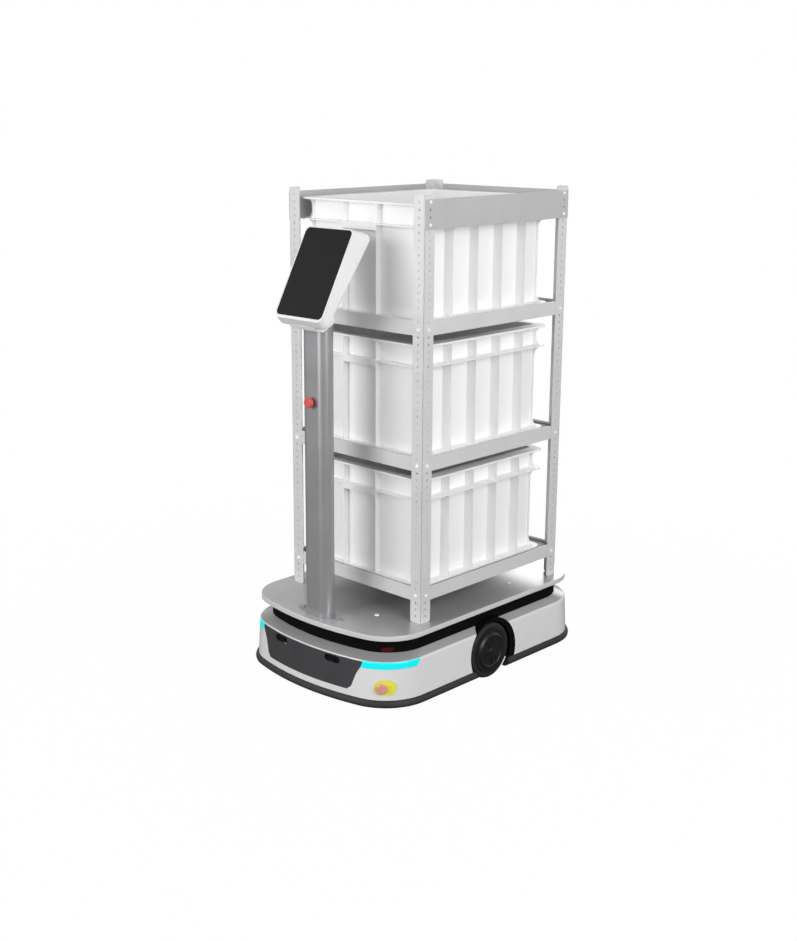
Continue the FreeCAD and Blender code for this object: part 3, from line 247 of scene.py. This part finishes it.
finishes = {
    "steel_frame": powderCoat("Black powder-coated steel", {**steelCoat, "color": "#3A3B3D",
        "shade": "#313234"}),
    "bumper_rubber": rubberCompound("EPDM bumper rubber", {
        **rubberGrain, "color": "#242424", "bloom": "#2E2E2F", "poreMm": 1.5, "bloomMm": 60, "rough": 0.55}),
    "shell_white": mouldedPlastic("White ABS body shell", {
        **plasticGrain, "color": "#E5E5E6", "shade": "#E2E2E3", "rough": 0.28, "bump": 0.04,
        "coat": 0.3, "edgeMm": 1.0,
        # painted shade: the up-facing shoulder is darkened to grey, standing in for the shade under the
        # deck's overhang
        "paintedShadeColor": "#8E8E90", "paintedShadeFrom": 0.55, "paintedShadeTo": 0.95}),
    "housing_black": mouldedPlastic("Black textured ABS", {
        **plasticGrain, "color": "#101011", "shade": "#0D0D0E", "rough": 0.6, "specular": 0.04}),
    "panel_dark": mouldedPlastic("Smoked front panel", {
        **plasticGrain, "color": "#454547", "shade": "#3F3F41", "rough": 0.3, "bump": 0.03,
        "specular": 0.3}),
    "light_cyan": lightDiffuser("Lit opal polycarbonate", {
        "color": "#00BCC0", "bright": "#00C6CA", "lampMm": 30, "glow": 0.75, "rough": 0.35}),
    "camera_black": coverGlass("Camera glass", {
        **glassFace, "color": "#0E0E10", "sheen": "#141417", "smearMm": 25, "rough": 0.08,
        "specular": 0.25}),
    "lidar_red": coverGlass("Infrared-passing red acrylic", {
        **glassFace, "color": "#430E10", "sheen": "#4C1214", "smearMm": 20, "rough": 0.12, "ior": 1.49,
        "specular": 0.3}),
    "tyre": rubberCompound("Solid rubber tyre", {
        **rubberGrain, "color": "#161617", "bloom": "#1E1E1F", "poreMm": 1.2, "bloomMm": 25, "rough": 0.6}),
    "cover_black": mouldedPlastic("Black nylon wheel cover", {
        **plasticGrain, "color": "#1E1E20", "shade": "#1A1A1C", "rough": 0.35, "specular": 0.35}),
    "motor_aluminium": platedSteel("Cast aluminium rotor", {
        **metalFace, "color": "#9A9A9C", "shade": "#88888A", "spangleMm": 4, "rough": 0.45}),
    "zinc_steel": platedSteel("Zinc-plated steel", {
        **metalFace, "color": "#C9CACC", "shade": "#B4B5B8", "spangleMm": 3, "rough": 0.35}),
    "caster_rubber": rubberCompound("Grey caster rubber", {
        **rubberGrain, "color": "#5A5A5C", "bloom": "#666668", "poreMm": 1.0, "bloomMm": 20, "rough": 0.6}),
    "battery_case": powderCoat("Dark battery enamel", {
        **steelCoat, "color": "#3C3E42", "shade": "#35373B"}),
    "deck_grey": powderCoat("Light grey deck enamel", {
        **steelCoat, "color": "#FAFAFA", "shade": "#F6F6F6", "rough": 0.3, "edgeMm": 0.8,
        "metallic": 0.4, "bump": 0.06,
        # painted shade: the up-facing top is a darker grey than the pale edges, standing in for how light
        # falls on the glossy deck
        "paintedShadeColor": "#BCBCBD", "paintedShadeFrom": 0.6, "paintedShadeTo": 0.9}),
    "mast_grey": powderCoat("Silver-grey mast coat", {
        **steelCoat, "color": "#A6A6A8", "shade": "#A3A3A5", "rough": 0.36, "metallic": 0.5, "bump": 0.05}),
    "case_white": mouldedPlastic("White screen case", {
        **plasticGrain, "color": "#F1F1F2", "shade": "#EEEEEF", "rough": 0.35, "edgeMm": 1.5}),
    "screen_black": coverGlass("Display cover glass", {
        **glassFace, "color": "#1C1C1C", "sheen": "#1F1F1F", "smearMm": 60, "rough": 0.2, "specular": 0.2}),
    "stop_yellow": mouldedPlastic("Yellow ABS stop plate", {
        **plasticGrain, "color": "#F4EC50", "shade": "#EEE549", "rough": 0.35}),
    "stop_collar": mouldedPlastic("Red-brown collar", {
        **plasticGrain, "color": "#8C3A38", "shade": "#803432", "rough": 0.4}),
    "stop_red": mouldedPlastic("Red mushroom button", {
        **plasticGrain, "color": "#D6605C", "shade": "#CE5854", "rough": 0.3, "coat": 0.3}),
    "rack_white": powderCoat("Off-white rack enamel", {
        **steelCoat, "color": "#E0E0E1", "shade": "#DCDCDD", "rough": 0.34, "edgeMm": 0.4,
        "metallic": 0.15}),
    "bolt_white": powderCoat("White bolt paint", {
        **steelCoat, "color": "#FBFBFB", "shade": "#F6F6F6", "rough": 0.3}),
    "band_grey": powderCoat("Grey band enamel", {
        **steelCoat, "color": "#C4C4C5", "shade": "#C0C0C1", "rough": 0.38, "edgeMm": 0.3,
        "metallic": 0.2}),
    "shelf_dark": powderCoat("Dark shelf enamel", {**steelCoat, "color": "#4A4A4B", "shade": "#424243"}),
    "crate_white": mouldedPlastic("White polypropylene crate", {
        **plasticGrain, "color": "#FAFAFA", "shade": "#F8F8F8", "rough": 0.38, "bump": 0.06,
        "edgeMm": 0.7, "scatter": 0.15, "scatterMm": 12}),
}
# the front stop button is paler than the red one on the mast: partly its own pink-red, partly a painted
# highlight from its gloss
paleHighlightButton = {**plasticGrain, "color": "#E3A29E", "shade": "#DB9894", "rough": 0.32, "coat": 0.3}


def dressNodes():
    for part in frame["record"]["subparts"]:
        node = nodes[part["node"]]
        node.data.materials.clear()
        node.data.materials.append(finishes[part["material_slot"]])
    nodes["mast_base"].data.materials[0] = finishes["mast_grey"]
    # painted highlight: the front button's paler red stands in partly for the highlight on it
    nodes["front_stop_button"].data.materials[0] = mouldedPlastic("Red mushroom button with painted highlight", paleHighlightButton)


dressNodes()
print("materials on all the nodes")


# ------------------------------------------------------------ rack posts with their rows of holes
postShape = {"pitchMm": 20.0, "holeWideMm": 4.2, "holeTallMm": 6.0, "holePoints": 12, "thickMm": 2.0,
             "roundMm": 7.0, "roundSteps": 5, "edgeMm": 0.25}


def postCorners():
    # each post with its outer corner, the way it faces from the rack's middle, and its flange's size
    middle = (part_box("shelf_panels")[0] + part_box("shelf_panels")[1]) / 2
    for name in ("front_left", "front_right", "rear_left", "rear_right"):
        low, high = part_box("post_" + name)
        sx = 1 if low.x > middle.x else -1
        sy = 1 if low.y > middle.y else -1
        outer = Vector((high.x if sx > 0 else low.x, high.y if sy > 0 else low.y, low.z))
        yield "post_" + name, outer, sx, sy, high.x - low.x, high.z - low.z


def ovalPoints(cx, cy, wide, tall):
    turns = [2 * math.pi * i / postShape["holePoints"] for i in range(postShape["holePoints"])]
    return [(cx + wide / 2 * math.cos(a), cy + tall / 2 * math.sin(a)) for a in turns]


def punchedPlate(name, outline, holes, thick, edge):
    # a filled flat curve with holes in it, thickened and softly edged, then turned to a mesh
    curve = bpy.data.curves.new(name, "CURVE")
    curve.dimensions = "2D"
    curve.fill_mode = "BOTH"
    curve.extrude = thick / 2 - edge
    curve.bevel_depth = edge
    curve.bevel_resolution = 1
    curve.offset = -edge
    for loop in [outline] + holes:
        spline = curve.splines.new("POLY")
        spline.points.add(len(loop) - 1)
        for point, (x, y) in zip(spline.points, loop):
            point.co = (x, y, 0, 1)
        spline.use_cyclic_u = True
    holder = bpy.data.objects.new(name, curve)
    bpy.context.scene.collection.objects.link(holder)
    bpy.context.view_layer.update()
    mesh = bpy.data.meshes.new_from_object(holder.evaluated_get(bpy.context.evaluated_depsgraph_get()))
    bpy.data.objects.remove(holder)
    return mesh


def flangeOutline(wide, tall, corner):
    # folded edge at x = 0, free edge at x = wide with rounded ends
    count = postShape["roundSteps"]
    steps = [math.pi / 2 * i / count for i in range(count + 1)]
    side = wide - corner
    top = [(side + corner * math.sin(a), tall - corner + corner * math.cos(a)) for a in reversed(steps)]
    low = [(side + corner * math.sin(a), corner - corner * math.cos(a)) for a in steps]
    return [(0, 0)] + low + top + [(0, tall)]


def buildPost(node, corner, sx, sy, wide, tall):
    pitch = postShape["pitchMm"] * mm
    thick = postShape["thickMm"] * mm
    hole = (postShape["holeWideMm"] * mm, postShape["holeTallMm"] * mm)
    holes = [ovalPoints(wide / 2, pitch * (i + 1), *hole) for i in range(round(tall / pitch) - 1)]
    outline = flangeOutline(wide, tall, postShape["roundMm"] * mm)
    acrossX, acrossY = Vector((-sx, 0, 0)), Vector((0, -sy, 0))
    mesh = bmesh.new()
    for along, inward in ((acrossX, acrossY), (acrossY, acrossX)):
        flange = punchedPlate(node + "Flange", outline, holes, thick, postShape["edgeMm"] * mm)
        place = Matrix(((along.x, 0, inward.x, 0), (along.y, 0, inward.y, 0), (0, 1, 0, 0), (0, 0, 0, 1)))
        flange.transform(Matrix.Translation(corner + inward * thick / 2) @ place)
        mesh.from_mesh(flange)
        bpy.data.meshes.remove(flange)
    bmesh.ops.recalc_face_normals(mesh, faces=mesh.faces)
    made = bpy.data.meshes.new(node + "Punched")
    mesh.to_mesh(made)
    mesh.free()
    piece = meshPiece("punched_" + node, "chassis", made, finishes["rack_white"])
    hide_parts(node)


for post in postCorners():
    buildPost(*post)
print("posts punched")


# ------------------------------------------------------------ screws and bolts
rackBolt = {"radiusMm": 5.6, "heightMm": 3.4, "aboveBeamMm": 17.0}
bandBolt = {"radiusMm": 5.0, "heightMm": 3.0, "fromTopMm": 8.0, "fromFootMm": 12.0}
# painted shade: the band's holes are thin dark discs standing in for the shade seen through open holes
paintedHoleShade = {"radiusMm": 2.6, "heightMm": 0.2, "fromTopMm": (28.0, 48.0)}
deckScrew = {"radiusMm": 7.0, "heightMm": 2.4, "placesMm": ((125, -296), (221, 189), (110, 400))}
mastBolt = {"radiusMm": 6.0, "heightMm": 3.2, "inFromEndMm": 15.0, "footMm": 3.0}
headShape = {"crownShare": 0.72, "segments": 24}


def addHead(mesh, place, facing, look):
    # a pan head: a short cylinder under a flatter cone
    turn = Vector(facing).to_track_quat("Z", "Y").to_matrix().to_4x4()
    radius, half = look["radiusMm"] * mm, look["heightMm"] * mm / 2
    for base, crown in ((0.0, radius), (half, radius * headShape["crownShare"])):
        move = Matrix.Translation(Vector(place)) @ turn @ Matrix.Translation((0, 0, base + half / 2))
        bmesh.ops.create_cone(mesh, cap_ends=True, segments=headShape["segments"], radius1=radius,
                              radius2=crown, depth=half, matrix=move)


def buildHeads(name, places, look, finish):
    mesh = bmesh.new()
    for place, facing in places:
        addHead(mesh, place, facing, look)
    made = bpy.data.meshes.new(name)
    mesh.to_mesh(made)
    mesh.free()
    piece = meshPiece(name, "chassis", made, finishes[finish])


def buildRackBolts():
    places = []
    for _, outer, sx, sy, wide, _ in postCorners():
        for level in ("lower", "middle", "upper"):
            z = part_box("shelf_beams_" + level)[0].z + rackBolt["aboveBeamMm"] * mm
            places.append(((outer.x - sx * wide / 2, outer.y, z), (0, sy, 0)))
            places.append(((outer.x, outer.y - sy * wide / 2, z), (sx, 0, 0)))
    buildHeads("rackBolts", places, rackBolt, "bolt_white")


def buildBandBolts():
    low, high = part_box("top_bands")
    boltLevels = (high.z - bandBolt["fromTopMm"] * mm, low.z + bandBolt["fromFootMm"] * mm)
    holeShadeLevels = [high.z - drop * mm for drop in paintedHoleShade["fromTopMm"]]
    bolts = []
    holes = []
    for _, outer, sx, sy, wide, _ in postCorners():
        side = high.x if sx > 0 else low.x
        y = outer.y - sy * wide / 2
        bolts += [((side, y, z), (sx, 0, 0)) for z in boltLevels]
        holes += [((side, y, z), (sx, 0, 0)) for z in holeShadeLevels]
    buildHeads("bandBolts", bolts, bandBolt, "bolt_white")
    # painted shade: dark discs where the band's holes are
    buildHeads("paintedBandHoleShades", holes, paintedHoleShade, "shelf_dark")


def buildDeckScrews():
    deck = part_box("deck_plate")[1].z
    places = [((side * x * mm, y * mm, deck), (0, 0, 1))
              for x, y in deckScrew["placesMm"] for side in (-1, 1)]
    buildHeads("deckScrews", places, deckScrew, "bolt_white")
    low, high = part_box("mast_base")
    y = (low.y + high.y) / 2
    ends = (low.x + mastBolt["inFromEndMm"] * mm, high.x - mastBolt["inFromEndMm"] * mm)
    feet = [((x, y, low.z + mastBolt["footMm"] * mm), (0, 0, 1)) for x in ends]
    buildHeads("mastFootBolts", feet, mastBolt, "mast_grey")


buildRackBolts()
buildBandBolts()
buildDeckScrews()
print("bolts and screws placed")


# ------------------------------------------------------------ studio
studio = {"floorHalfM": 14, "floorGapMm": 0.5, "floor": "#6E6E6E", "fibreScale": 40.0, "paper": "#FBFBFB",
          "paperBright": "#FFFFFF", "floorSeen": 0.985, "fadeFromM": 0.9, "fadeToM": 2.2,
          "horizon": 0.95, "zenith": 0.22, "horizonAt": 0.1, "zenithAt": 0.9}


def buildFloor():
    mesh = bpy.data.meshes.new("floor")
    grid = bmesh.new()
    bmesh.ops.create_grid(grid, x_segments=2, y_segments=2, size=studio["floorHalfM"])
    grid.to_mesh(mesh)
    grid.free()
    floor = bpy.data.objects.new("floor", mesh)
    floor.location.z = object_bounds()[0].z - studio["floorGapMm"] * mm
    bpy.context.scene.collection.objects.link(floor)
    material = bpy.data.materials.new("Matt studio floor")
    material.use_nodes = True
    tree = material.node_tree
    tree.nodes.clear()
    where = addNode(tree, "NewGeometry")
    fibre = addNode(tree, "TexNoise", {"Scale": studio["fibreScale"]}, {"Vector": where.outputs["Position"]})
    paper = addTone(tree, fibre.outputs["Fac"], studio["paper"], studio["paperBright"])
    path = addNode(tree, "LightPath")
    toCamera = path.outputs["Is Camera Ray"]
    dim = addNode(tree, "MixRGB", {1: linearColor(studio["floor"])}, {0: toCamera, 2: paper})
    matt = addNode(tree, "BsdfDiffuse", links={"Color": dim.outputs["Color"]})
    glow = addNode(tree, "Emission", {"Strength": 1.0})
    reach = addNode(tree, "VectorMath", {"operation": "LENGTH"}, {0: where.outputs["Position"]})
    fadeSpan = {"interpolation_type": "SMOOTHSTEP", "From Min": studio["fadeFromM"],
                "From Max": studio["fadeToM"], "To Min": studio["floorSeen"], "To Max": 1.0}
    fade = addNode(tree, "MapRange", fadeSpan, {"Value": reach.outputs["Value"]})
    seen = addNode(tree, "Math", {"operation": "MULTIPLY"}, {0: toCamera, 1: fade.outputs["Result"]})
    mix = addNode(tree, "MixShader", links={0: seen.outputs[0], 1: matt.outputs[0], 2: glow.outputs[0]})
    addNode(tree, "OutputMaterial", links={"Surface": mix.outputs[0]})
    mesh.materials.append(material)


def buildSky():
    # brightest at the horizon, as in a room ringed with softboxes, and plain white to the camera
    world = bpy.data.worlds.new("studio")
    bpy.context.scene.world = world
    world.use_nodes = True
    tree = world.node_tree
    tree.nodes.clear()
    look = addNode(tree, "TexCoord")
    axes = addNode(tree, "SeparateXYZ", links={0: look.outputs["Generated"]})
    heightSpan = {"From Min": studio["horizonAt"], "From Max": studio["zenithAt"],
                  "To Min": studio["horizon"], "To Max": studio["zenith"]}
    height = addNode(tree, "MapRange", heightSpan, {"Value": axes.outputs["Z"]})
    path = addNode(tree, "LightPath")
    seen = addNode(tree, "Math", {"operation": "MAXIMUM"},
                   {0: path.outputs["Is Camera Ray"], 1: path.outputs["Is Transmission Ray"]})
    power = addNode(tree, "MapRange", {"To Max": 1.0},
                    {"Value": seen.outputs[0], "To Min": height.outputs["Result"]})
    sky = addNode(tree, "Background", {"Color": (1, 1, 1, 1)}, {"Strength": power.outputs["Result"]})
    addNode(tree, "OutputWorld", links={"Surface": sky.outputs[0]})


def addPanelLight(name, place, target, size, power):
    lamp = bpy.data.lights.new(name, "AREA")
    lamp.shape = "RECTANGLE"
    lamp.size, lamp.size_y = size
    lamp.energy = power
    holder = bpy.data.objects.new(name, lamp)
    holder.location = place
    holder.rotation_euler = (Vector(target) - Vector(place)).to_track_quat("-Z", "Y").to_euler()
    bpy.context.scene.collection.objects.link(holder)


softboxes = {
    "rightSoftbox": {"place": (3.4, -0.7, 1.9), "target": (0, 0, 0.9), "size": (2.0, 2.0), "power": 68},
    "frontSoftbox": {"place": (-0.9, -3.6, 1.6), "target": (0, 0, 0.8), "size": (1.8, 2.4), "power": 66},
    "backSoftbox": {"place": (-1.4, 3.4, 1.7), "target": (0, 0, 0.8), "size": (1.8, 2.2), "power": 34},
}

buildFloor()
buildSky()
for name, softbox in softboxes.items():
    addPanelLight(name, **softbox)
print("studio lit")


# ------------------------------------------------------------ camera
view = {"place": (2.7358, -2.9710, 1.6504), "turnDeg": 44.8615, "downDeg": 14.4635, "lens": 52.553,
        "sensor": 36, "shift": (0.0364, -0.0094)}
camera = bpy.data.cameras.new("camera")
camera.lens = view["lens"]
camera.sensor_width = view["sensor"]
camera.shift_x, camera.shift_y = view["shift"]
cameraHolder = bpy.data.objects.new("camera", camera)
cameraHolder.location = view["place"]
cameraHolder.rotation_euler = (math.radians(90 - view["downDeg"]), 0, math.radians(view["turnDeg"]))
bpy.context.scene.collection.objects.link(cameraHolder)
bpy.context.scene.camera = cameraHolder
bpy.context.scene.view_settings.view_transform = "Standard"
